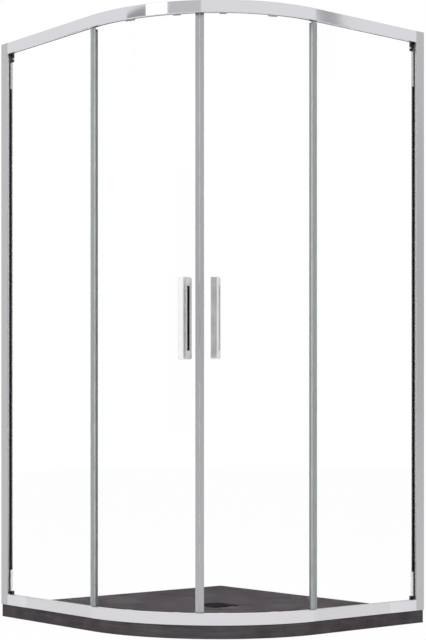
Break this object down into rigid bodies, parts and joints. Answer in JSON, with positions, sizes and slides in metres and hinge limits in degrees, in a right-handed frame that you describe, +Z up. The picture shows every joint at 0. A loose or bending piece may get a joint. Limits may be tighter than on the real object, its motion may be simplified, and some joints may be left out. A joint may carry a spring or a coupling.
{
  "type": "quadrant shower enclosure",
  "caption": "Quadrant corner shower enclosure: low slate-effect tray, bright frame, flat side panes and curved glass doors that travel apart on wheel carriages.",
  "frame": {"origin": "centre of the square footprint at floor level, which is also the centre of the front's arc", "axes": "+Z up; the walls are at -X and +Y, and the rounded front faces +X and -Y"},
  "size_m": [1, 1, 1.94],
  "materials": {
    "tray_slate": "slate texture",
    "waste_steel": "satin",
    "frame_silver": "satin anodised",
    "wall_silver": "satin anodised",
    "cap_silver": "satin",
    "rail_silver": "polished",
    "infill_grey": "satin",
    "clear_glass": "clear",
    "gasket_black": "matt",
    "block_dark": "matt",
    "seal_grey": "translucent",
    "closer_silver": "polished",
    "magnet_grey": "satin",
    "handle_chrome": "polished",
    "carriage_grey": "moulded",
    "clamp_grey": "moulded",
    "guide_plastic": "moulded",
    "wheel_nylon": "moulded",
    "drain_black": "matt"
  },
  "bodies": {
    "enclosure": {"shower_tray": "tray_slate", "waste_flange": "waste_steel", "frame_post_left": "frame_silver", "frame_post_right": "frame_silver", "wall_profile_left": "wall_silver", "wall_profile_right": "wall_silver", "post_caps": "cap_silver", "header_rail": "rail_silver", "bottom_rail": "rail_silver", "groove_infill": "infill_grey", "fixed_pane_left": "clear_glass", "fixed_pane_right": "clear_glass", "pane_gasket_left": "gasket_black", "pane_gasket_right": "gasket_black", "pane_end_blocks": "frame_silver", "pane_edge_seal_left": "seal_grey", "pane_edge_seal_right": "seal_grey", "corner_blocks": "block_dark", "door_stops": "gasket_black"},
    "left_door": {"door_glass_left": "clear_glass", "closing_profile_left": "closer_silver", "magnet_seal_left": "magnet_grey", "trailing_seal_left": "seal_grey", "bottom_seal_left": "seal_grey", "bottom_guides_left": "guide_plastic", "handle_left": "handle_chrome", "slot_lining_left": "gasket_black", "handle_fixings_left": "handle_chrome", "carriage_clamps_left": "clamp_grey", "roller_carriage_tail_left": "carriage_grey", "roller_carriage_nose_left": "carriage_grey"},
    "right_door": {"door_glass_right": "clear_glass", "closing_profile_right": "closer_silver", "magnet_seal_right": "magnet_grey", "trailing_seal_right": "seal_grey", "bottom_seal_right": "seal_grey", "bottom_guides_right": "guide_plastic", "handle_right": "handle_chrome", "slot_lining_right": "gasket_black", "handle_fixings_right": "handle_chrome", "carriage_clamps_right": "clamp_grey", "roller_carriage_tail_right": "carriage_grey", "roller_carriage_nose_right": "carriage_grey"},
    "wheel_tail_a_left": {"wheel_tail_a_left": "wheel_nylon"},
    "wheel_tail_b_left": {"wheel_tail_b_left": "wheel_nylon"},
    "wheel_nose_a_left": {"wheel_nose_a_left": "wheel_nylon"},
    "wheel_nose_b_left": {"wheel_nose_b_left": "wheel_nylon"},
    "wheel_tail_a_right": {"wheel_tail_a_right": "wheel_nylon"},
    "wheel_tail_b_right": {"wheel_tail_b_right": "wheel_nylon"},
    "wheel_nose_a_right": {"wheel_nose_a_right": "wheel_nylon"},
    "wheel_nose_b_right": {"wheel_nose_b_right": "wheel_nylon"},
    "drain_cover": {"drain_cover": "drain_black"}
  },
  "joints": [
    {"name": "left_door_travel", "type": "hinge", "parent": "enclosure", "child": "left_door", "pos_m": [-0.025, 0.08, 1], "axis": [0, 0, -1], "range_deg": [0, 26]},
    {"name": "right_door_travel", "type": "hinge", "parent": "enclosure", "child": "right_door", "pos_m": [-0.08, 0.025, 1], "axis": [0, 0, 1], "range_deg": [0, 26]},
    {"name": "wheel_tail_a_left_spin", "type": "hinge", "parent": "left_door", "child": "wheel_tail_a_left", "pos_m": [0.1262, -0.45544, 1.9278], "axis": [0.2874, -0.9578, 0], "continuous": true},
    {"name": "wheel_tail_b_left_spin", "type": "hinge", "parent": "left_door", "child": "wheel_tail_b_left", "pos_m": [0.14536, -0.4497, 1.9278], "axis": [0.2874, -0.9578, 0], "continuous": true},
    {"name": "wheel_nose_a_left_spin", "type": "hinge", "parent": "left_door", "child": "wheel_nose_a_left", "pos_m": [0.27167, -0.38672, 1.9278], "axis": [0.592, -0.8059, 0], "continuous": true},
    {"name": "wheel_nose_b_left_spin", "type": "hinge", "parent": "left_door", "child": "wheel_nose_b_left", "pos_m": [0.28779, -0.37488, 1.9278], "axis": [0.592, -0.8059, 0], "continuous": true},
    {"name": "wheel_tail_a_right_spin", "type": "hinge", "parent": "right_door", "child": "wheel_tail_a_right", "pos_m": [0.45544, -0.1262, 1.9278], "axis": [0.9578, -0.2874, 0], "continuous": true},
    {"name": "wheel_tail_b_right_spin", "type": "hinge", "parent": "right_door", "child": "wheel_tail_b_right", "pos_m": [0.4497, -0.14536, 1.9278], "axis": [0.9578, -0.2874, 0], "continuous": true},
    {"name": "wheel_nose_a_right_spin", "type": "hinge", "parent": "right_door", "child": "wheel_nose_a_right", "pos_m": [0.38672, -0.27167, 1.9278], "axis": [0.8059, -0.592, 0], "continuous": true},
    {"name": "wheel_nose_b_right_spin", "type": "hinge", "parent": "right_door", "child": "wheel_nose_b_right", "pos_m": [0.37488, -0.28779, 1.9278], "axis": [0.8059, -0.592, 0], "continuous": true},
    {"name": "drain_cover_lift", "type": "slide", "parent": "enclosure", "child": "drain_cover", "axis": [0, 0, 1], "range_m": [0, 0.08]}
  ],
  "couplings": [
    {"joint": "wheel_tail_a_left_spin", "follows": "left_door_travel", "ratio": 69.548},
    {"joint": "wheel_tail_b_left_spin", "follows": "left_door_travel", "ratio": 69.552},
    {"joint": "wheel_nose_a_left_spin", "follows": "left_door_travel", "ratio": 69.129},
    {"joint": "wheel_nose_b_left_spin", "follows": "left_door_travel", "ratio": 69.005},
    {"joint": "wheel_tail_a_right_spin", "follows": "right_door_travel", "ratio": -69.548},
    {"joint": "wheel_tail_b_right_spin", "follows": "right_door_travel", "ratio": -69.552},
    {"joint": "wheel_nose_a_right_spin", "follows": "right_door_travel", "ratio": -69.129},
    {"joint": "wheel_nose_b_right_spin", "follows": "right_door_travel", "ratio": -69.005}
  ]
}
